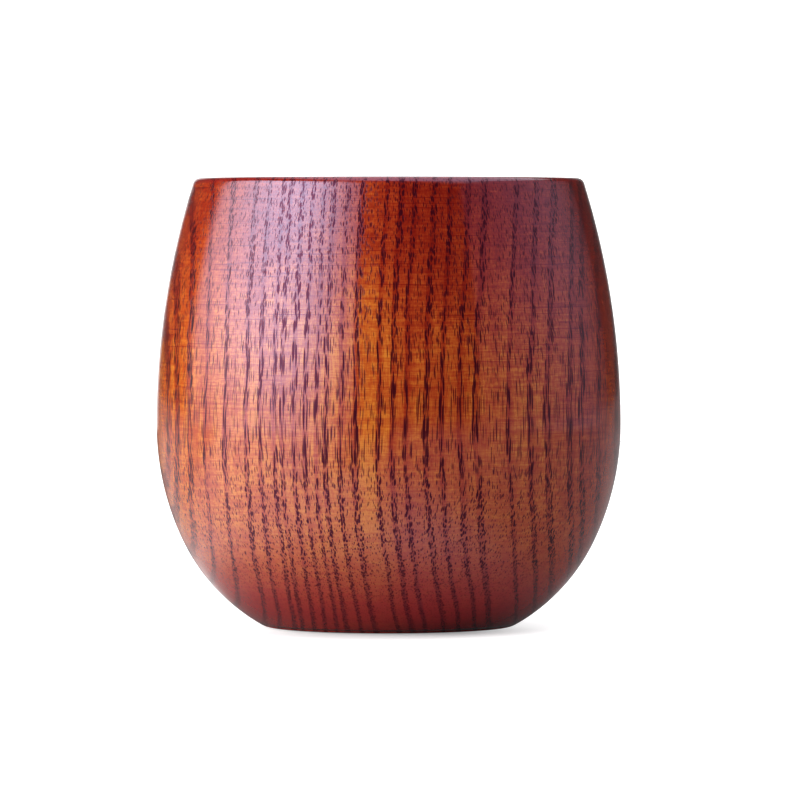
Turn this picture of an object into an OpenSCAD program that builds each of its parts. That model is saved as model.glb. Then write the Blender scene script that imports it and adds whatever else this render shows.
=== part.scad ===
// Handleless wooden cup, turned from one block of ring-porous hardwood and lacquered inside and out.
// The axis of turning is Z, and the foot stands on Z = 0. Sizes are in millimetres.

/* [Body] */
// Height from the table to the top of the lip
height = 82; // [70:0.5:100]
// Widest outside diameter, at the belly
belly_d = 85; // [80:0.5:96]
// Height of the widest point above the table
belly_z = 37; // [32:0.5:44]
// Outside diameter at the mouth, before the lip's edge is rounded
mouth_d = 71; // [64:0.5:76]
// Outside diameter at the table, before the foot's edge is rounded
foot_d = 45.4; // [40:0.2:52]
// Lean of the wall at the foot, in degrees from upright
foot_lean = 62; // [54:0.5:70]

/* [Hollow] */
// Thickness of the wall at the belly
wall = 5; // [4:0.1:7]
// Thickness of the wall at the mouth, before its edges are rounded
lip_t = 4; // [3.6:0.1:6]
// Thickness of the floor above the table
floor_t = 8; // [6:0.1:12]
// Diameter of the flat in the middle of the floor
floor_flat_d = 22; // [10:0.5:26]

/* [Edges] */
// Rounding of the lip's outer edge
lip_outer_r = 1.2; // [0.8:0.1:1.6]
// Rounding of the lip's inner edge
lip_inner_r = 1.5; // [0.8:0.1:1.8]
// Rounding of the foot's outer edge
foot_edge_r = 3; // [1:0.1:5]

/* [Foot] */
// Width of the flat ring that the cup stands on
foot_ring_w = 5; // [3:0.1:8]
// Depth of the recess turned into the underside
recess_depth = 1.6; // [1.5:0.1:2.5]
// Fillet between the recess's side and its top
recess_fillet = 0.8; // [0.3:0.1:0.9]
// Bevel between the recess's side and the foot ring
recess_bevel = 0.4; // [0.1:0.05:0.5]

/* [Lacquer] */
// Thickness of the cured lacquer
coat_t = 0.25; // [0.15:0.01:0.5]

/* [Hidden] */

$fn = 240;
// How far a chord may lie inside the arc that it stands for
chord_error = 0.03;

wood_colour = [0.69, 0.33, 0.13];
outer_colour = [0.72, 0.31, 0.09];
inner_colour = [0.76, 0.37, 0.13];

// An arc is [centre, radius, first angle, last angle, side], in the plane of radius and height.
// side is 1 where the wood lies inside the arc, and -1 where it lies outside it.
inside = 1;
outside = -1;
function direction(v) = atan2(v[1], v[0]);
function steps(arc) = ceil(abs(arc[3] - arc[2]) / (2 * acos(1 - chord_error / arc[1])));
function point_at(arc, share, depth) =
    let (angle = arc[2] + (arc[3] - arc[2]) * share)
    arc[0] + (arc[1] - arc[4] * depth) * [cos(angle), sin(angle)];

// The points of a chain of arcs, at a depth below the finished surface.
function trace(arcs, depth) = [
    for (arc = arcs)
        for (i = [0 : steps(arc) - 1])
            point_at(arc, i / steps(arc), depth),
    point_at(arcs[len(arcs) - 1], 1, depth)
];
function backwards(points) = [for (i = [len(points) - 1 : -1 : 0]) points[i]];

// The [centre, radius] of the circle that leaves point p, where n points to its centre, and passes point q.
function circle_through(p, n, q) =
    let (chord = q - p, radius = (chord * chord) / (2 * (n * chord)))
    [p + radius * n, radius];

// Where two arcs meet that together lead from point p, heading t, to point q, heading u.
function biarc_joint(p, t, q, u) =
    let (
        chord = q - p,
        heading = chord * (t + u),
        turn = 1 - t * u,
        reach = (sqrt(heading * heading + 2 * turn * (chord * chord)) - heading) / (2 * turn)
    )
    (p + q + reach * (t - u)) / 2;

// The two arcs that go down from an upright wall at point p to point q, where it leans: the circle
// of each, and the angle at which they meet.
function bowl_circles(p, q, lean) =
    let (
        joint = biarc_joint(p, [0, -1], q, [-sin(lean), -cos(lean)]),
        upper = circle_through(p, [-1, 0], joint),
        lower = circle_through(q, [-cos(lean), sin(lean)], joint)
    )
    [upper, lower, direction(joint - upper[0])];

// The angle at which a wall's circle touches a rounding.
function touch_angle(wall_circle, rounding_circle) = direction(rounding_circle[0] - wall_circle[0]);

// The circle of a rounding at a height of its own, which touches a wall's circle.
// side is where the rounding lies: inside or outside the wall's circle.
function rounding(wall_circle, radius, z, side) =
    let (
        centre = wall_circle[0],
        reach = wall_circle[1] - side * radius
    )
    [[centre[0] + sqrt(reach * reach - pow(z - centre[1], 2)), z], radius];

// Outside of the cup, from the lip down to the foot
belly = [belly_d / 2, belly_z];
flank = circle_through(belly, [-1, 0], [mouth_d / 2, height]);
bowl = bowl_circles(belly, [foot_d / 2, 0], foot_lean);
lip_outer = rounding(flank, lip_outer_r, height - lip_outer_r, inside);
foot_edge = rounding(bowl[1], foot_edge_r, foot_edge_r, inside);

flank_top = touch_angle(flank, lip_outer);
bowl_foot = touch_angle(bowl[1], foot_edge);
outer_arcs = [
    [lip_outer[0], lip_outer[1], 90, flank_top, inside],
    [flank[0], flank[1], flank_top, 0, inside],
    [bowl[0][0], bowl[0][1], 0, bowl[2], inside],
    [bowl[1][0], bowl[1][1], bowl[2], bowl_foot, inside]
];
foot_arc = [foot_edge[0], foot_edge[1], bowl_foot, -90, inside];

// Inside of the cup, from the lip down to the floor
inner_belly = belly - [wall, 0];
inner_flank = circle_through(inner_belly, [-1, 0], [mouth_d / 2 - lip_t, height]);
inner_bowl = bowl_circles(inner_belly, [floor_flat_d / 2, floor_t], 90);
lip_inner = rounding(inner_flank, lip_inner_r, height - lip_inner_r, outside);

inner_top = touch_angle(inner_flank, lip_inner);
inner_arcs = [
    [lip_inner[0], lip_inner[1], 90, 180 + inner_top, inside],
    [inner_flank[0], inner_flank[1], inner_top, 0, outside],
    [inner_bowl[0][0], inner_bowl[0][1], 0, inner_bowl[2], outside],
    [inner_bowl[1][0], inner_bowl[1][1], inner_bowl[2], -90, outside]
];

// The two coats meet halfway across the flat of the lip.
lip_seam_r = (lip_outer[0][0] + lip_inner[0][0]) / 2;

// Underside, from the axis out to the foot ring
recess_r = foot_edge[0][0] - foot_ring_w - recess_bevel;
recess_arc = [[recess_r - recess_fillet, recess_depth - recess_fillet], recess_fillet, 90, 0, outside];

// Turned hardwood: wall, floor, lip and foot in one piece.
module turned_body() {
    color(wood_colour)
        rotate_extrude()
            polygon(concat(
                [[0, recess_depth]],
                trace([recess_arc], 0),
                [[recess_r, recess_bevel], [recess_r + recess_bevel, 0]],
                backwards(trace([foot_arc], 0)),
                backwards(trace(outer_arcs, coat_t)),
                trace(inner_arcs, coat_t),
                [[0, floor_t - coat_t]]
            ));
}

// Clear lacquer over the outside, from the lip down to the foot's rounded edge.
module outer_lacquer() {
    color(outer_colour)
        rotate_extrude()
            polygon(concat(
                [[lip_seam_r, height]],
                trace(outer_arcs, 0),
                backwards(trace(outer_arcs, coat_t)),
                [[lip_seam_r, height - coat_t]]
            ));
}

// Food-safe lacquer that lines the hollow and seals the wood from the drink.
module inner_lacquer() {
    color(inner_colour)
        rotate_extrude()
            polygon(concat(
                [[lip_seam_r, height]],
                trace(inner_arcs, 0),
                [[0, floor_t], [0, floor_t - coat_t]],
                backwards(trace(inner_arcs, coat_t)),
                [[lip_seam_r, height - coat_t]]
            ));
}

turned_body();
outer_lacquer();
inner_lacquer();
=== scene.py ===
"""Looks of the turned wooden cup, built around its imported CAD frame.

Lengths of the cup and of its grain are in millimetres, as in the part's source, and become metres where
Blender needs them. Lengths of the stage are in metres. The axis of turning is Z, the foot stands on Z = 0,
and the camera looks along +Y.
"""

import math
from typing import NamedTuple

import bmesh
import bpy
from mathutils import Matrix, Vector


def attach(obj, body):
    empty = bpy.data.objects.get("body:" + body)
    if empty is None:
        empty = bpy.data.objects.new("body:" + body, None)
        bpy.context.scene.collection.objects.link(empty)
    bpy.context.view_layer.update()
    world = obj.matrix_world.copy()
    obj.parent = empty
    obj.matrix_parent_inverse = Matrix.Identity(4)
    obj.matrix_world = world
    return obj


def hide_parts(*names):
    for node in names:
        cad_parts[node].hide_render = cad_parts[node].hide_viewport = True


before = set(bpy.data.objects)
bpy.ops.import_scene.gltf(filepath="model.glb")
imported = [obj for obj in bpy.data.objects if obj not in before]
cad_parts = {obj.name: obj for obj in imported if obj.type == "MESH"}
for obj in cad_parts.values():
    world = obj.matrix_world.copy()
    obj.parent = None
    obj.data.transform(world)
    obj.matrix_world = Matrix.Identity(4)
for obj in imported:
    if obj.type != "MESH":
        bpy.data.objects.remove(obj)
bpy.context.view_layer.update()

MM = 0.001

# Sizes of the cup, as in the part's source
HEIGHT = 82
BELLY_R = 42.5
BELLY_Z = 37
MOUTH_R = 35.5
FOOT_R = 22.7
FOOT_LEAN = 62
WALL = 5
LIP_T = 4
FLOOR_T = 8
FLOOR_FLAT_R = 11
LIP_OUTER_ROUND = 1.2
LIP_INNER_ROUND = 1.5
FOOT_ROUND = 3
FOOT_RING_W = 5
RECESS_DEPTH = 1.6
RECESS_FILLET = 0.8
RECESS_BEVEL = 0.4
COAT_T = 0.25

# Fineness of the turned meshes: faces round the axis, and the longest and the fewest steps along an arc
SEGMENTS = 256
ARC_STEP = 0.9
FEWEST_STEPS = 3
# A radius under this one is a point on the axis
ON_AXIS = 1e-9
# Keeps the smooth rounds inside the box of the CAD, whose facets cut across them
SHRINK = 0.9996
SHARP_ANGLE = math.radians(35)

# Growth rings: circles about the pith, which lies outside the cup, and the radii where each ring begins
PITH = (-90, -16)
RING_EDGES = [
    45.5, 49.8, 51.3, 54.2, 58, 62.2, 67, 69.8, 72.6, 74, 76.3, 78.4, 80.5, 82.1, 84.8, 87.3, 91.7, 94,
    96.4, 99.7, 102.3, 105.2, 107.7, 113, 116.3, 119, 122.6, 124.4, 127.3, 131, 136,
]


# Outlines of the cup, from arcs

class Arc:
    """Part of a circle in the plane of radius and height, with the wood on its INSIDE or its OUTSIDE."""

    def __init__(self, circle, first, last, side):
        self.centre, self.radius = circle
        self.first, self.last, self.side = first, last, side

    def points(self, depth):
        """Points along the arc, at a depth below the finished surface, without its last one."""
        steps = max(FEWEST_STEPS, math.ceil(abs(self.last - self.first) * self.radius / ARC_STEP))
        return [self.point(i / steps, depth) for i in range(steps)]

    def point(self, share, depth):
        angle = self.first + (self.last - self.first) * share
        reach = self.radius - self.side * depth
        return self.centre + reach * Vector((math.cos(angle), math.sin(angle)))


INSIDE = 1
OUTSIDE = -1
DOWN = -math.pi / 2
UP = math.pi / 2


def trace(arcs, depth):
    """The points of a chain of arcs, at a depth below the finished surface."""
    points = [point for arc in arcs for point in arc.points(depth)]
    return points + [arcs[-1].point(1, depth)]


def direction(v):
    return math.atan2(v.y, v.x)


def circle_through(p, inward, q):
    """The circle that leaves point p, where inward points to its centre, and passes point q."""
    chord = q - p
    radius = chord.dot(chord) / (2 * inward.dot(chord))
    return p + radius * inward, radius


def biarc_joint(p, t, q, u):
    """Where two arcs meet that together lead from point p, heading t, to point q, heading u."""
    chord = q - p
    heading = chord.dot(t + u)
    turn = 1 - t.dot(u)
    reach = (math.sqrt(heading ** 2 + 2 * turn * chord.dot(chord)) - heading) / (2 * turn)
    return (p + q + reach * (t - u)) / 2


def bowl_circles(p, q, lean):
    """Circles of the two arcs from an upright wall at p to q, where it leans, and their joint's angle."""
    joint = biarc_joint(p, Vector((0, -1)), q, Vector((-math.sin(lean), -math.cos(lean))))
    upper = circle_through(p, Vector((-1, 0)), joint)
    lower = circle_through(q, Vector((-math.cos(lean), math.sin(lean))), joint)
    return upper, lower, direction(joint - upper[0])


def rounding(wall, radius, z, side):
    """The circle of a rounding at height z that touches a wall's circle from its inside or its outside."""
    centre, reach = wall[0], wall[1] - side * radius
    return Vector((centre.x + math.sqrt(reach ** 2 - (z - centre.y) ** 2), z)), radius


def touch_angle(wall, round_circle):
    return direction(round_circle[0] - wall[0])


def outside_arcs():
    """The cup's outside from the lip down to the foot's edge, and the foot's edge."""
    belly = Vector((BELLY_R, BELLY_Z))
    flank = circle_through(belly, Vector((-1, 0)), Vector((MOUTH_R, HEIGHT)))
    upper, lower, joint = bowl_circles(belly, Vector((FOOT_R, 0)), math.radians(FOOT_LEAN))
    lip = rounding(flank, LIP_OUTER_ROUND, HEIGHT - LIP_OUTER_ROUND, INSIDE)
    foot = rounding(lower, FOOT_ROUND, FOOT_ROUND, INSIDE)
    flank_top = touch_angle(flank, lip)
    bowl_foot = touch_angle(lower, foot)
    wall = [
        Arc(lip, UP, flank_top, INSIDE),
        Arc(flank, flank_top, 0, INSIDE),
        Arc(upper, 0, joint, INSIDE),
        Arc(lower, joint, bowl_foot, INSIDE),
    ]
    return wall, Arc(foot, bowl_foot, DOWN, INSIDE)


def inside_arcs():
    """The hollow, from the lip down to the flat of the floor."""
    belly = Vector((BELLY_R - WALL, BELLY_Z))
    flank = circle_through(belly, Vector((-1, 0)), Vector((MOUTH_R - LIP_T, HEIGHT)))
    upper, lower, joint = bowl_circles(belly, Vector((FLOOR_FLAT_R, FLOOR_T)), math.pi / 2)
    lip = rounding(flank, LIP_INNER_ROUND, HEIGHT - LIP_INNER_ROUND, OUTSIDE)
    flank_top = touch_angle(flank, lip)
    return [
        Arc(lip, UP, math.pi + flank_top, INSIDE),
        Arc(flank, flank_top, 0, OUTSIDE),
        Arc(upper, 0, joint, OUTSIDE),
        Arc(lower, joint, DOWN, OUTSIDE),
    ]


OUTER_ARCS, FOOT_ARC = outside_arcs()
INNER_ARCS = inside_arcs()
LIP_SEAM_R = (OUTER_ARCS[0].centre.x + INNER_ARCS[0].centre.x) / 2


def body_outline():
    """Turned hardwood: underside, foot, outside, lip and hollow, all below the coats."""
    recess_r = FOOT_ARC.centre.x - FOOT_RING_W - RECESS_BEVEL
    fillet_centre = Vector((recess_r - RECESS_FILLET, RECESS_DEPTH - RECESS_FILLET))
    fillet = Arc((fillet_centre, RECESS_FILLET), UP, 0, OUTSIDE)
    underside = [Vector((0, RECESS_DEPTH))] + trace([fillet], 0)
    underside += [Vector((recess_r, RECESS_BEVEL)), Vector((recess_r + RECESS_BEVEL, 0))]
    outside = trace([FOOT_ARC], 0)[::-1] + trace(OUTER_ARCS, COAT_T)[::-1]
    hollow = trace(INNER_ARCS, COAT_T) + [Vector((0, FLOOR_T - COAT_T))]
    return underside + outside + hollow


def outer_coat_outline():
    """Lacquer over the outside, from the middle of the lip down to the foot's edge."""
    finished = [Vector((LIP_SEAM_R, HEIGHT))] + trace(OUTER_ARCS, 0)
    backing = trace(OUTER_ARCS, COAT_T)[::-1] + [Vector((LIP_SEAM_R, HEIGHT - COAT_T))]
    return (finished + backing)[::-1]


def inner_coat_outline():
    """Lacquer that lines the hollow, from the middle of the lip down to the floor."""
    finished = [Vector((LIP_SEAM_R, HEIGHT))] + trace(INNER_ARCS, 0) + [Vector((0, FLOOR_T))]
    backing = [Vector((0, FLOOR_T - COAT_T))] + trace(INNER_ARCS, COAT_T)[::-1]
    return finished + backing + [Vector((LIP_SEAM_R, HEIGHT - COAT_T))]


def turned_mesh(name, outline):
    """A closed mesh turned about Z from an outline of radii and heights that goes round anticlockwise."""
    bm = bmesh.new()
    turns = [2 * math.pi * i / SEGMENTS for i in range(SEGMENTS)]
    rings = []
    for point in outline:
        if point.x < ON_AXIS:
            rings.append([bm.verts.new((0, 0, point.y * MM))])
            continue
        reach = point.x * MM * SHRINK
        circle = [(reach * math.cos(a), reach * math.sin(a), point.y * MM) for a in turns]
        rings.append([bm.verts.new(place) for place in circle])
    for ring, following in zip(rings, rings[1:] + rings[:1]):
        if len(ring) == 1 and len(following) == 1:
            continue
        for i in range(SEGMENTS):
            j = (i + 1) % SEGMENTS
            corners = [ring[i % len(ring)], ring[j % len(ring)]]
            corners += [following[j % len(following)], following[i % len(following)]]
            bm.faces.new(list(dict.fromkeys(corners)))
    for face in bm.faces:
        face.smooth = True
    for edge in bm.edges:
        edge.smooth = edge.calc_face_angle() < SHARP_ANGLE
    mesh = bpy.data.meshes.new(name)
    bm.to_mesh(mesh)
    bm.free()
    return mesh


def turned_piece(name, outline, node, material):
    """A turned piece that rides on the one rigid body and stands for a CAD node."""
    piece = bpy.data.objects.new(name, turned_mesh(name, outline))
    bpy.context.scene.collection.objects.link(piece)
    piece.data.materials.append(material)
    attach(piece, "root")
    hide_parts(node)
    return piece


# Nodes of the materials and the lamps

class Ramp(NamedTuple):
    """A smooth change from at_start to at_end, while a value goes from start to end."""

    start: float
    end: float
    at_start: float = 0.0
    at_end: float = 1.0


class Noise(NamedTuple):
    """Smooth noise from 0 to 1: its frequency along each axis, and how much finer noise it holds."""

    frequency: tuple
    detail: float
    roughness: float


class Nodes:
    """Adds nodes to a node tree. Each value that a method takes is a number, a colour or a socket."""

    def __init__(self, tree):
        self.tree = tree
        tree.nodes.clear()

    def add(self, kind, inputs=(), **settings):
        node = self.tree.nodes.new("ShaderNode" + kind)
        for name, value in settings.items():
            setattr(node, name, value)
        for name, value in dict(inputs).items():
            self.put(node.inputs[name], value)
        return node

    def put(self, socket, value):
        if isinstance(value, bpy.types.NodeSocket):
            self.tree.links.new(value, socket)
        else:
            socket.default_value = value

    def math(self, operation, a, b=0.0, clamp=False):
        return self.add("Math", {0: a, 1: b}, operation=operation, use_clamp=clamp).outputs[0]

    def sum(self, total, *terms):
        for term in terms:
            total = self.math("ADD", total, term)
        return total

    def product(self, total, *factors):
        for factor in factors:
            total = self.math("MULTIPLY", total, factor)
        return total

    def vector(self, operation, a, b=(0, 0, 0)):
        node = self.add("VectorMath", {0: a, 1: b}, operation=operation)
        return node.outputs["Value" if operation == "LENGTH" else "Vector"]

    def axis(self, name, place):
        """The X, Y or Z of a place."""
        return self.add("SeparateXYZ", {"Vector": place}).outputs[name]

    def noise(self, place, noise, output=0):
        scaled = self.vector("MULTIPLY", place, noise.frequency)
        inputs = {"Vector": scaled, "Scale": 1.0, "Detail": noise.detail, "Roughness": noise.roughness}
        return self.add("TexNoise", inputs).outputs[output]

    def ramp(self, value, ramp):
        inputs = {"Value": value, 1: ramp.start, 2: ramp.end, 3: ramp.at_start, 4: ramp.at_end}
        return self.add("MapRange", inputs, interpolation_type="SMOOTHSTEP").outputs[0]

    def mix(self, share, a, b):
        """The colour a at share 0 and b at share 1."""
        node = self.add("Mix", data_type="RGBA")
        for socket, value in zip((node.inputs[0], node.inputs[6], node.inputs[7]), (share, a, b)):
            self.put(socket, value)
        return node.outputs[2]

    def curve(self, value, points):
        """Straight lines through points, whose both coordinates run from 0 to 1."""
        node = self.add("FloatCurve", {"Value": value})
        line = node.mapping.curves[0]
        for x, y in points[1:-1]:
            line.points.new(x, y)
        for point, place in zip(line.points, points):
            point.location = place
            point.handle_type = "VECTOR"
        node.mapping.update()
        return node.outputs[0]


def colour(red, green, blue):
    return red, green, blue, 1.0


WHITE = colour(1, 1, 1)
BLACK = colour(0, 0, 0)


# Wood: growth rings

def ring_radius(n, place):
    """Distance from the pith, in millimetres."""
    from_pith = n.vector("SUBTRACT", place, (*PITH, 0))
    return n.vector("LENGTH", n.vector("MULTIPLY", from_pith, (1, 1, 0)))


def ring_distance(n, radius):
    """How far a radius lies past the start of its growth ring, in millimetres, and the ring's number."""
    first, last = RING_EDGES[0], RING_EDGES[-1]
    share = n.math("DIVIDE", n.math("SUBTRACT", radius, first), last - first)
    rings = len(RING_EDGES) - 1
    edges = [((edge - first) / (last - first), i / rings) for i, edge in enumerate(RING_EDGES)]
    number = n.product(n.curve(share, edges), rings)
    widths = [b - a for a, b in zip(RING_EDGES, RING_EDGES[1:])]
    widest = max(widths)
    middles = [((a + b) / 2 - first) / (last - first) for a, b in zip(RING_EDGES, RING_EDGES[1:])]
    steps = [(0, widths[0] / widest)] + [(m, w / widest) for m, w in zip(middles, widths)]
    width = n.product(n.curve(share, steps + [(1, widths[-1] / widest)]), widest)
    return n.product(n.math("FRACT", number), width), number


# Wood: pores

class PoreCells(NamedTuple):
    """Cells for one pore each: their pitch across the grain in millimetres, and their length in pitches."""

    pitch: float
    stretch: float


ROW_CELLS = PoreCells(0.32, 16)
MIDDLING_CELLS = PoreCells(0.38, 20)
FINE_CELLS = PoreCells(0.28, 24)

# Each ring's row of large pores: its reach past the ring's start, and the share of its cells in use
ROW_WIDTH = Ramp(0, 1, 0.75, 1.1)
ROW_SHARE = Ramp(0, 1, 0.93, 1.0)
# Share of the cells in use between the rows, by the noise that gathers the middling pores
MIDDLING_SHARE = Ramp(0.35, 0.65, 0.45, 0.95)
FINE_SHARE = 0.6

# Radii of the pores in millimetres, and the large ones' shrinking towards the lip, by height
ROW_PORE_R = Ramp(0, 1, 0.13, 0.205)
MIDDLING_PORE_R = Ramp(0, 1, 0.08, 0.13)
FINE_PORE_R = Ramp(0, 1, 0.07, 0.12)
ROW_PORE_SHRINKING = Ramp(48, 66, 1.0, 0.94)

# Soft edges of the pores, by distance from their middles in radii
ROW_PORE_EDGE = Ramp(0.75, 1.1, 1.0, 0.0)
SMALL_PORE_EDGE = Ramp(0.75, 1.15, 1.0, 0.0)


def pore_cells(n, grain, cells):
    """Distance from the cell's middle in millimetres, that middle, and the cell's lots from 0 to 1."""
    cell = (1 / cells.pitch, 1 / cells.pitch, 1 / (cells.pitch * cells.stretch))
    node = n.add("TexVoronoi", {"Vector": n.vector("MULTIPLY", grain, cell), "Scale": 1.0})
    middle = n.vector("MULTIPLY", node.outputs["Position"], tuple(1 / c for c in cell))
    lots = n.add("SeparateColor", {"Color": node.outputs["Color"]}).outputs
    return n.product(node.outputs["Distance"], cells.pitch), middle, lots


def row_pores(n, grain):
    """Rows of large pores where each growth ring begins, wider and denser in some rings than in others."""
    reach, middle, lots = pore_cells(n, grain, ROW_CELLS)
    past, number = ring_distance(n, ring_radius(n, middle))
    whole = n.math("FLOOR", number)
    ring_lot = n.add("TexWhiteNoise", {"W": whole}, noise_dimensions="1D").outputs["Value"]
    in_row = n.math("LESS_THAN", past, n.ramp(ring_lot, ROW_WIDTH))
    present = n.math("LESS_THAN", lots[0], n.ramp(ring_lot, ROW_SHARE))
    shrinking = n.ramp(n.axis("Z", middle), ROW_PORE_SHRINKING)
    radius = n.product(n.ramp(lots[1], ROW_PORE_R), shrinking)
    pore = n.ramp(n.math("DIVIDE", reach, radius), ROW_PORE_EDGE)
    return n.product(in_row, present, pore)


def scattered_pores(n, grain, cells, share, radii):
    """Small pores in a share of the cells."""
    reach, _, lots = pore_cells(n, grain, cells)
    pore = n.ramp(n.math("DIVIDE", reach, n.ramp(lots[1], radii)), SMALL_PORE_EDGE)
    return n.product(n.math("LESS_THAN", lots[0], share), pore)


# Wood: colour

HEARTWOOD = colour(0.445, 0.110, 0.013)
# What a depth of tone of 1 leaves of each part of the heartwood's colour, and the least depth
DEEPENING = (0.40, 0.085, 0.16)
LEAST_DEPTH = -0.15
# End grain near the foot, darker partly as end grain and partly as painted shade under the bowl, and its
# rows
END_GRAIN_AND_PAINTED_SHADE = colour(0.265, 0.011, 0.013)
END_GRAIN_ROW = colour(0.10, 0.004, 0.012)
# The lip's edge: end grain, darkened further as painted shade where the rounding turns up
LIP_GRAIN_AND_PAINTED_SHADE = colour(0.17, 0.008, 0.007)
PORE = colour(0.028, 0.0015, 0.004)
SMALL_PORE = colour(0.062, 0.004, 0.004)

# Noises of the wood, with frequencies per millimetre across the grain, twice, and along it
WANDER = Noise((0.06, 0.06, 0.05), detail=1.5, roughness=0.5)
CLUSTERS = Noise((0.5, 0.5, 0.12), detail=2.0, roughness=0.5)
PATCHES = Noise((0.35, 0.35, 0.06), detail=3.0, roughness=0.55)
FIBRES = Noise((5, 5, 0.3), detail=3.0, roughness=0.6)
RIPPLES = Noise((0.9, 0.9, 2.2), detail=3.0, roughness=0.65)
LATHE_BANDS = Noise((0.1, 0.1, 2.2), detail=2.0, roughness=0.6)
LATHE_LINES = Noise((0.06, 0.06, 3.0), detail=1.0, roughness=0.5)

# How far the grain wanders between its extremes, in millimetres, and the noise that leaves it straight
WANDER_REACH = 1.4
NO_WANDER = (0.5, 0.5, 0.5)
# The middle of a row of pores, past the start of its ring
ROW_MIDDLE = 0.4

# Depth of tone by distance from the pith, which is least on the key lamp's side and most on the far side
RING_TONES_AND_PAINTED_SHADE = [
    # Painted shade on the key lamp's side
    Ramp(60, 82, 0.08, 0.0),
    Ramp(92.5, 95, 0.0, 0.25),
    Ramp(108, 118, 0.0, -0.05),
    # Outer rings: deeper partly by their tone and partly as painted shade on the side away from the key
    # lamp
    Ramp(119, 129, 0.0, 0.35),
]
# Depth of tone towards the lip by height, and its share by distance from the pith, larger on the side away
# from the key lamp as painted shade
LIP_TONE = Ramp(46, 80, 0.0, 0.66)
LIP_TONE_PAINTED_SHADE_SHARE = Ramp(84, 96, 0.8, 1.05)

# Depth of tone by noise
PATCH_TONE = Ramp(0.3, 0.7, -0.12, 0.14)
FIBRE_TONE = Ramp(0.25, 0.75, 0.18, -0.18)
RIPPLE_TONE = Ramp(0.3, 0.7, 0.11, -0.11)
LATHE_BAND_TONE = Ramp(0.3, 0.7, 0.13, -0.13)
LATHE_LINE = Ramp(0.62, 0.72)
# Depth of tone of the lathe's lines by height
LATHE_LINE_TONE = Ramp(35, 60, 0.1, 0.4)
# Depth of tone by distance from the middle of a row of pores, close to it and further out
ROW_TONE = Ramp(0.1, 0.6, 0.22, 0.0)
ROW_HALO_TONE = Ramp(0.3, 1.4, 0.12, 0.0)
# Strength of all these by height, as they are fainter on end grain
FIGURE_STRENGTH = Ramp(8, 45, 0.5, 1.0)

# End grain with painted shade under the bowl, by height, and its darker rows by distance from their middle
END_GRAIN_AND_PAINTED_SHADE_SHARE = Ramp(22, 3, 0.0, 0.9)
END_GRAIN_ROW_SHARE = Ramp(0.1, 0.6, 0.7, 0.0)
# The lip's darker edge by height: end grain and painted shade where the rounding turns up
LIP_SHARE = Ramp(80.8, 81.5, 0.0, 0.85)

# Strength of the pores' colour, also by height, as they are fainter near the foot
ROW_PORE_STRENGTH = 0.96
MIDDLING_PORE_STRENGTH = 0.95
FINE_PORE_STRENGTH = 0.9
ROW_PORE_CLEARNESS = Ramp(2, 16, 0.6, 1.0)
SMALL_PORE_CLEARNESS = Ramp(2, 16, 0.35, 1.0)

# Depth of the small pores as a share of the large ones', and height of the ripples as a share of it
SMALL_PORE_DEPTH = 0.7
RIPPLE_HEIGHT = 0.12


def wandering_grain(n, place):
    """A place in the straight grain of the tree, for a place in the cup, whose grain wanders."""
    wander = n.vector("SUBTRACT", n.noise(place, WANDER, "Color"), NO_WANDER)
    return n.vector("ADD", place, n.vector("MULTIPLY", wander, (WANDER_REACH, WANDER_REACH, 0)))


def ring_tone_and_painted_shade(n, radius, height):
    """Depth of tone: painted shade near the pith on the key lamp's side, a deeper ring, outer rings deeper
    partly as painted shade, and deeper near the lip.
    """
    lip_tone = n.product(n.ramp(height, LIP_TONE), n.ramp(radius, LIP_TONE_PAINTED_SHADE_SHARE))
    return n.sum(*(n.ramp(radius, tone) for tone in RING_TONES_AND_PAINTED_SHADE), lip_tone)


def figure_tone(n, place, grain, from_row, ripples, height):
    """Tone of the figure: patches, fibres, ripples, marks of the lathe and a deeper band along each row."""
    lines = n.product(n.ramp(n.noise(place, LATHE_LINES), LATHE_LINE), n.ramp(height, LATHE_LINE_TONE))
    figure = n.sum(
        n.ramp(n.noise(grain, PATCHES), PATCH_TONE),
        n.ramp(n.noise(grain, FIBRES), FIBRE_TONE),
        n.ramp(ripples, RIPPLE_TONE),
        n.ramp(n.noise(place, LATHE_BANDS), LATHE_BAND_TONE),
        lines,
        n.ramp(from_row, ROW_TONE),
        n.ramp(from_row, ROW_HALO_TONE),
    )
    return n.product(figure, n.ramp(height, FIGURE_STRENGTH))


def deepened(n, depth):
    """The heartwood's colour, which darkens and reddens with depth as stained wood does."""
    inputs = {}
    for i, (full, left) in enumerate(zip(HEARTWOOD, DEEPENING)):
        inputs[i] = n.product(n.math("POWER", left, depth), full)
    return n.add("CombineColor", inputs).outputs[0]


def plain_wood(n, depth, from_row, height):
    """Colour of the wood between its pores: heartwood, end grain near the foot and the lip's edge, the last
    two darker also as painted shade.
    """
    base = deepened(n, n.math("MAXIMUM", depth, LEAST_DEPTH))
    end_grain_and_painted_shade = n.mix(n.ramp(from_row, END_GRAIN_ROW_SHARE), END_GRAIN_AND_PAINTED_SHADE, END_GRAIN_ROW)
    base = n.mix(n.ramp(height, END_GRAIN_AND_PAINTED_SHADE_SHARE), base, end_grain_and_painted_shade)
    return n.mix(n.ramp(height, LIP_SHARE), base, LIP_GRAIN_AND_PAINTED_SHADE)


def with_pores(n, base, large, middling, fine, height):
    """A colour with the pores' colours over it."""
    clear = n.ramp(height, SMALL_PORE_CLEARNESS)
    base = n.mix(n.product(fine, FINE_PORE_STRENGTH, clear), base, SMALL_PORE)
    base = n.mix(n.product(middling, MIDDLING_PORE_STRENGTH, clear), base, SMALL_PORE)
    row_clear = n.ramp(height, ROW_PORE_CLEARNESS)
    return n.mix(n.product(large, ROW_PORE_STRENGTH, row_clear), base, PORE)


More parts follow.
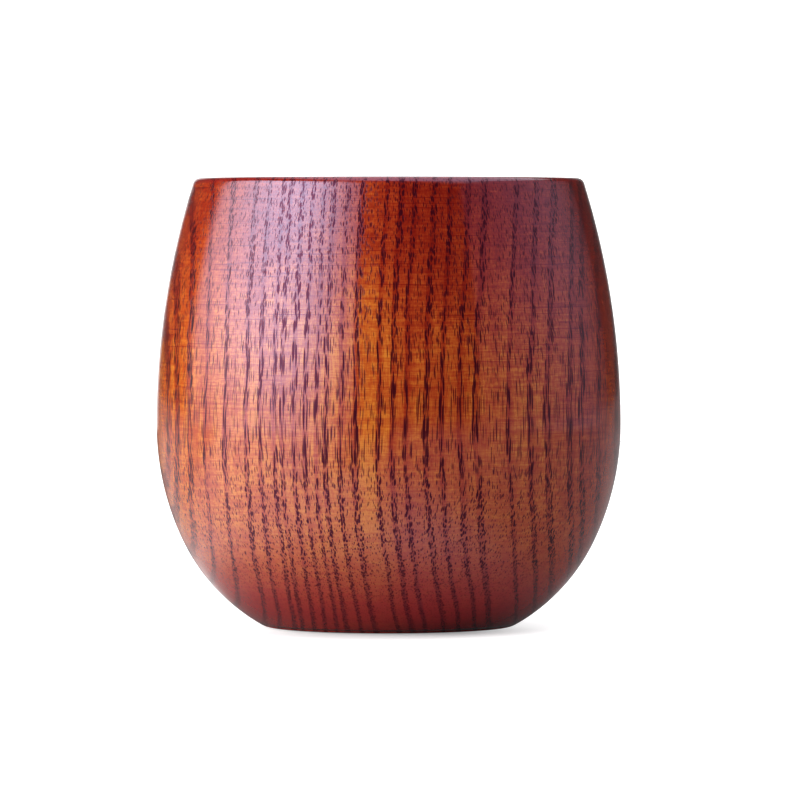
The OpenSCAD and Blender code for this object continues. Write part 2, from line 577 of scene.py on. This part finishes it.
def wood_pattern(n):
    """Solid ring-porous wood: its colour, its pores from 0 to 1 and the height of its surface."""
    place = n.vector("MULTIPLY", n.add("TexCoord").outputs["Object"], (1 / MM, 1 / MM, 1 / MM))
    height = n.axis("Z", place)
    grain = wandering_grain(n, place)
    radius = ring_radius(n, grain)
    past, _ = ring_distance(n, radius)
    from_row = n.math("ABSOLUTE", n.math("SUBTRACT", past, ROW_MIDDLE))
    ripples = n.noise(place, RIPPLES)

    large = row_pores(n, grain)
    gathered = n.ramp(n.noise(grain, CLUSTERS), MIDDLING_SHARE)
    middling = scattered_pores(n, grain, MIDDLING_CELLS, gathered, MIDDLING_PORE_R)
    fine = scattered_pores(n, grain, FINE_CELLS, FINE_SHARE, FINE_PORE_R)

    figure = figure_tone(n, place, grain, from_row, ripples, height)
    depth = n.sum(ring_tone_and_painted_shade(n, radius, height), figure)
    base = with_pores(n, plain_wood(n, depth, from_row, height), large, middling, fine, height)
    small = n.math("MAXIMUM", middling, fine)
    pore = n.math("MAXIMUM", large, n.product(small, SMALL_PORE_DEPTH))
    relief = n.math("SUBTRACT", n.product(ripples, RIPPLE_HEIGHT), pore)
    return base, pore, relief


# Wood: finishes

class Finish(NamedTuple):
    """Roughness is between and in the pores, relief is the pores' depth in millimetres, gloss is a tint."""

    ior: float
    roughness: tuple
    relief: float
    gloss: tuple


COOL_GLOSS = colour(0.36, 0.64, 1.0)
SUNKEN_GLOSS = colour(0.33, 0.12, 0.26)
OUTER_FINISH = Finish(ior=1.68, roughness=(0.1, 0.15), relief=0.006, gloss=COOL_GLOSS)
INNER_FINISH = Finish(ior=1.68, roughness=(0.14, 0.3), relief=0.006, gloss=COOL_GLOSS)
BARE_FINISH = Finish(ior=1.35, roughness=(0.6, 0.8), relief=0.04, gloss=WHITE)


def wood_material(name, finish):
    """Wood under a finish. A clear coat shows as the wood with the coat's gloss."""
    material = bpy.data.materials.new(name)
    material.use_nodes = True
    n = Nodes(material.node_tree)
    base, pore, height = wood_pattern(n)
    bump = n.add("Bump", {"Height": height, "Strength": 1.0, "Distance": finish.relief * MM})
    shader = n.add("BsdfPrincipled", {
        "Base Color": base,
        "Roughness": n.ramp(pore, Ramp(0, 1, *finish.roughness)),
        "IOR": finish.ior,
        "Specular Tint": n.mix(pore, finish.gloss, SUNKEN_GLOSS),
        "Normal": bump.outputs[0],
    })
    output = n.add("OutputMaterial", {"Surface": shader.outputs[0]})
    output.is_active_output = True
    return material


outer_lacquer = wood_material("lacquered_wood_outside", OUTER_FINISH)
inner_lacquer = wood_material("lacquered_wood_inside", INNER_FINISH)
bare_wood = wood_material("bare_wood", BARE_FINISH)

# Pieces

body = turned_piece("turned_body_wood", body_outline(), "turned_body", bare_wood)
outside_coat = turned_piece("outer_lacquer_coat", outer_coat_outline(), "outer_lacquer", outer_lacquer)
inside_coat = turned_piece("inner_lacquer_coat", inner_coat_outline(), "inner_lacquer", inner_lacquer)


# Stage: a floor and a backdrop of white paper

PAPER = colour(0.55, 0.55, 0.55)
PAPER_FLECKS = 400.0
PAPER_ROUGHNESS = Ramp(0.3, 0.7, 0.75, 0.95)
PAPER_SPECULAR = 0.1

FLOOR_HALF_W = 3.0
# The floor lies a hair below the foot, so that their faces don't share a plane
FLOOR_Z = -0.00005
BACKDROP_Y = 1.0
BACKDROP_BEND_R = 0.3
BACKDROP_BEND_STEPS = 16
BACKDROP_TOP = 1.6
BACKDROP_HALF_W = 0.35
BACKDROP_FOOT_Z = 0.0005

# Light of the floor for the camera, by distance from the axis, and a painted shadow by distance from the
# front of the foot
FLOOR_GLOW = Ramp(0.022, 0.2, 0.85, 1.0)
FOOT_FRONT = (0, -0.022, 0)
FOOT_FRONT_PAINTED_SHADOW = Ramp(0.01, 0.036, 0.35, 1.0)
# Light of the backdrop for the camera, by height
BACKDROP_GLOW = Ramp(0.8, 1.6, 1.0, 0.3)

# Shares of the floor that the cup's gloss shows, the rest being black as painted shade. The key lamp's side
# is that of negative X, and a place's direction is its X as a share of its distance from the axis.
KEY_SIDE_BY_X = Ramp(-0.06, 0.03, 1.0, 0.0)
KEY_SIDE_BY_Y = Ramp(-0.03, 0.06, 1.0, 0.4)
KEY_SIDE_BY_DIRECTION = Ramp(-0.75, -0.1, 1.0, 0.0)
KEY_SIDE_BY_DISTANCE = Ramp(0.06, 0.2, 1.0, 0.0)
FRONT_BY_X = Ramp(0.005, 0.055, 1.0, 0.0)
FRONT_FADE_DISTANCE = 0.034
SHADED_SIDE_BY_X = Ramp(0.005, 0.055, 0.0, 0.18)
UNDER_CUP_BY_DISTANCE = Ramp(0.024, 0.064, 0.12, 1.0)
# Share of the backdrop that the cup's gloss shows, the rest being black as painted shade, more on the side
# away from the key lamp
BACKDROP_BY_X = Ramp(-0.3, 0.3, 0.55, 0.15)


def paper_material(name, glow, mirrored):
    """Plain white paper that keeps shadows.

    glow(n, place) lifts it to white for the camera, and mirrored(n, place) is the share that gloss shows;
    gloss sees the rest as black, which is painted shade.
    """
    material = bpy.data.materials.new(name)
    material.use_nodes = True
    n = Nodes(material.node_tree)
    place = n.add("TexCoord").outputs["Object"]
    path = n.add("LightPath").outputs
    # What gloss doesn't see of the paper is black: painted shade in reflections
    painted_shade_in_gloss = n.product(path["Is Glossy Ray"], n.math("SUBTRACT", 1.0, mirrored(n, place)))
    seen = n.sum(path["Is Camera Ray"], n.math("SUBTRACT", path["Is Glossy Ray"], painted_shade_in_gloss))
    seen = n.math("ADD", seen, path["Is Transmission Ray"], clamp=True)
    fleck = n.add("TexNoise", {"Vector": place, "Scale": PAPER_FLECKS}).outputs[0]
    shader = n.add("BsdfPrincipled", {
        "Base Color": n.mix(painted_shade_in_gloss, PAPER, BLACK),
        "Roughness": n.ramp(fleck, PAPER_ROUGHNESS),
        "Specular IOR Level": PAPER_SPECULAR,
        "Emission Color": WHITE,
        "Emission Strength": n.product(seen, glow(n, place)),
    })
    n.add("OutputMaterial", {"Surface": shader.outputs[0]})
    return material


def floor_glow_and_painted_shadow(n, place):
    """White at a distance and a little dimmer close to the foot, with a painted shadow right in front of
    it.
    """
    from_front = n.vector("LENGTH", n.vector("SUBTRACT", place, FOOT_FRONT))
    around = n.ramp(n.vector("LENGTH", place), FLOOR_GLOW)
    return n.product(around, n.ramp(from_front, FOOT_FRONT_PAINTED_SHADOW))


def floor_mirrored(n, place):
    """Painted shade in reflections. Most on the key lamp's side, less in front and on the shaded side,
    least behind and under the cup.
    """
    x = n.axis("X", place)
    distance = n.vector("LENGTH", place)
    aside = n.ramp(n.math("DIVIDE", x, distance), KEY_SIDE_BY_DIRECTION)
    aside_or_near = n.math("MAXIMUM", aside, n.ramp(distance, KEY_SIDE_BY_DISTANCE))
    key_side = n.product(n.ramp(x, KEY_SIDE_BY_X), n.ramp(n.axis("Y", place), KEY_SIDE_BY_Y), aside_or_near)
    fade = n.math("DIVIDE", FRONT_FADE_DISTANCE, distance, clamp=True)
    front = n.product(n.ramp(x, FRONT_BY_X), fade)
    share = n.math("MAXIMUM", key_side, n.sum(front, n.ramp(x, SHADED_SIDE_BY_X)))
    return n.product(share, n.ramp(distance, UNDER_CUP_BY_DISTANCE))


def backdrop_glow(n, place):
    """White, apart from its top, where it fades."""
    return n.ramp(n.axis("Z", place), BACKDROP_GLOW)


def backdrop_mirrored(n, place):
    """Painted shade in reflections: more shows on the key lamp's side than on the other."""
    return n.ramp(n.axis("X", place), BACKDROP_BY_X)


def paper_sheet(name, lines, material):
    """A sheet of paper through lines of points, each line as long as the others."""
    bm = bmesh.new()
    rows = [[bm.verts.new(point) for point in line] for line in lines]
    for row, following in zip(rows, rows[1:]):
        for i in range(len(row) - 1):
            face = bm.faces.new((row[i], row[i + 1], following[i + 1], following[i]))
            face.smooth = True
    mesh = bpy.data.meshes.new(name)
    bm.to_mesh(mesh)
    bm.free()
    mesh.materials.append(material)
    sheet = bpy.data.objects.new(name, mesh)
    bpy.context.scene.collection.objects.link(sheet)


def floor():
    """A wide white floor."""
    ends = (-FLOOR_HALF_W, FLOOR_HALF_W)
    lines = [[(x, y, FLOOR_Z) for x in ends] for y in ends]
    paper_sheet("floor", lines, paper_material("white_floor", floor_glow_and_painted_shadow, floor_mirrored))


def backdrop():
    """A strip of paper that curves up from the floor behind the cup."""
    profile = [(BACKDROP_Y, BACKDROP_FOOT_Z)]
    for i in range(1, BACKDROP_BEND_STEPS + 1):
        angle = i / BACKDROP_BEND_STEPS * math.pi / 2
        along = BACKDROP_BEND_R * math.sin(angle)
        up = BACKDROP_BEND_R - BACKDROP_BEND_R * math.cos(angle)
        profile.append((BACKDROP_Y + along, up))
    profile.append((BACKDROP_Y + BACKDROP_BEND_R, BACKDROP_TOP))
    lines = [[(-BACKDROP_HALF_W, y, z), (BACKDROP_HALF_W, y, z)] for y, z in profile]
    paper_sheet("backdrop", lines, paper_material("white_backdrop", backdrop_glow, backdrop_mirrored))


# Stage: lamps and camera

# Light of the panel lamps, across them in metres and up them as the slope seen from the axis
KEY_LEFT_EDGE = Ramp(-1.65, -0.95, 0.0, 0.42)
KEY_LEFT = Ramp(-1.05, 0.0, 0.0, 0.58)
KEY_RIGHT = Ramp(0.05, 0.8, 1.0, 0.22)
KEY_LOWER_EDGE = Ramp(-0.17, 0.3, 0.0, 0.8)
KEY_LOWER = Ramp(0.25, 0.65, 0.0, 0.2)
KEY_UPPER_EDGE = Ramp(0.85, 1.1, 1.0, 0.0)
FILL_NEAR = Ramp(-0.75, 0.3, 0.4, 1.0)
FILL_FAR = Ramp(0.2, 1.2, 1.0, 0.15)
FILL_LOWER = Ramp(0.0, 0.35, 0.6, 1.0)
PLAIN_TINT = (1, 1, 1)
FILL_TINT = (0.92, 0.82, 1.0)
# Light of the ceiling lamp, by the product of the shares of its two sides from both ends
CEILING_EDGE = Ramp(0.0, 0.03)
WORLD_STRENGTH = 0.05

# The camera in metres, with its sensor and lens in millimetres
SENSOR_W = 36
LENS = 274
CAMERA_PLACE = Vector((0.002075, -1.115, 0.0712))
CAMERA_TARGET = Vector((0.002075, 0, 0.0414))


def lamp(name, size, radiance, tint, shape):
    """An area lamp. shape(n, across, up) gives its light from 0 to 1 at places from 0 to 1."""
    data = bpy.data.lights.new(name, "AREA")
    data.shape = "RECTANGLE"
    data.size, data.size_y = size
    data.energy = radiance * math.pi * data.size * data.size_y
    data.color = tint
    data.use_nodes = True
    n = Nodes(data.node_tree)
    place = n.add("NewGeometry").outputs["Parametric"]
    emission = n.add("Emission", {"Strength": shape(n, n.axis("X", place), n.axis("Y", place))})
    n.add("OutputLight", {"Surface": emission.outputs[0]})
    panel = bpy.data.objects.new(name, data)
    bpy.context.scene.collection.objects.link(panel)
    return panel


def aim(thing, target):
    thing.rotation_euler = (target - thing.location).to_track_quat("-Z", "Y").to_euler()


def softbox(name, azimuth, distance, left, right, top, radiance, tint, shape):
    """An upright panel lamp that faces the axis and stands on the floor.

    Azimuth 0 is the camera's side and positive is to its right, in degrees. left and right are how far the
    panel reaches to either side of its nearest place. shape(n, across, rise) gives its light from 0 to 1.
    """
    def spread(n, across_share, up_share):
        across = n.math("SUBTRACT", n.product(across_share, left + right), left)
        away = n.math("SQRT", n.sum(n.product(across, across), distance ** 2))
        return shape(n, across, n.math("DIVIDE", n.product(up_share, top), away))

    panel = lamp(name, (left + right, top), radiance, tint, spread)
    turn = math.radians(azimuth)
    outward = Vector((math.sin(turn), -math.cos(turn), 0))
    sideways = Vector((math.cos(turn), math.sin(turn), 0))
    panel.location = outward * distance + sideways * (right - left) / 2 + Vector((0, 0, top / 2))
    aim(panel, panel.location - outward)


def ceiling(name, middle, size, radiance):
    """A level lamp that shines down, dimmer towards its edges."""
    def faded(n, across, up):
        ends = [n.product(share, n.math("SUBTRACT", 1.0, share)) for share in (across, up)]
        return n.ramp(n.product(*ends), CEILING_EDGE)

    panel = lamp(name, size, radiance, PLAIN_TINT, faded)
    panel.location = middle


def key_light(n, across, rise):
    """Brightest in the middle, dimmer to its sides, with soft upper and lower edges."""
    left = n.sum(n.ramp(across, KEY_LEFT_EDGE), n.ramp(across, KEY_LEFT))
    lower = n.sum(n.ramp(rise, KEY_LOWER_EDGE), n.ramp(rise, KEY_LOWER))
    return n.product(left, n.ramp(across, KEY_RIGHT), lower, n.ramp(rise, KEY_UPPER_EDGE))


def fill_light(n, across, rise):
    """Dimmer towards the floor, towards the camera and towards its far end."""
    return n.product(n.ramp(rise, FILL_LOWER), n.ramp(across, FILL_NEAR), n.ramp(across, FILL_FAR))


def world_light():
    """Dim, even light from all round."""
    world = bpy.data.worlds.new("studio")
    world.use_nodes = True
    n = Nodes(world.node_tree)
    background = n.add("Background", {"Color": WHITE, "Strength": WORLD_STRENGTH})
    n.add("OutputWorld", {"Surface": background.outputs[0]})
    bpy.context.scene.world = world


def photograph_camera():
    data = bpy.data.cameras.new("camera")
    data.sensor_width = SENSOR_W
    data.lens = LENS
    camera = bpy.data.objects.new("camera", data)
    bpy.context.scene.collection.objects.link(camera)
    camera.location = CAMERA_PLACE
    aim(camera, CAMERA_TARGET)
    bpy.context.scene.camera = camera


floor()
backdrop()
softbox(
    "left_softbox", azimuth=-60, distance=0.9, left=1.9, right=0.84, top=1.1,
    radiance=8.8, tint=PLAIN_TINT, shape=key_light,
)
softbox(
    "right_card", azimuth=85, distance=0.9, left=0.75, right=1.2, top=0.8,
    radiance=0.68, tint=FILL_TINT, shape=fill_light,
)
ceiling("top_softbox", middle=Vector((0.25, 0.1, 0.85)), size=(1.5, 1.8), radiance=2.0)
world_light()
photograph_camera()
bpy.context.scene.view_settings.view_transform = "Standard"

bpy.context.view_layer.update()
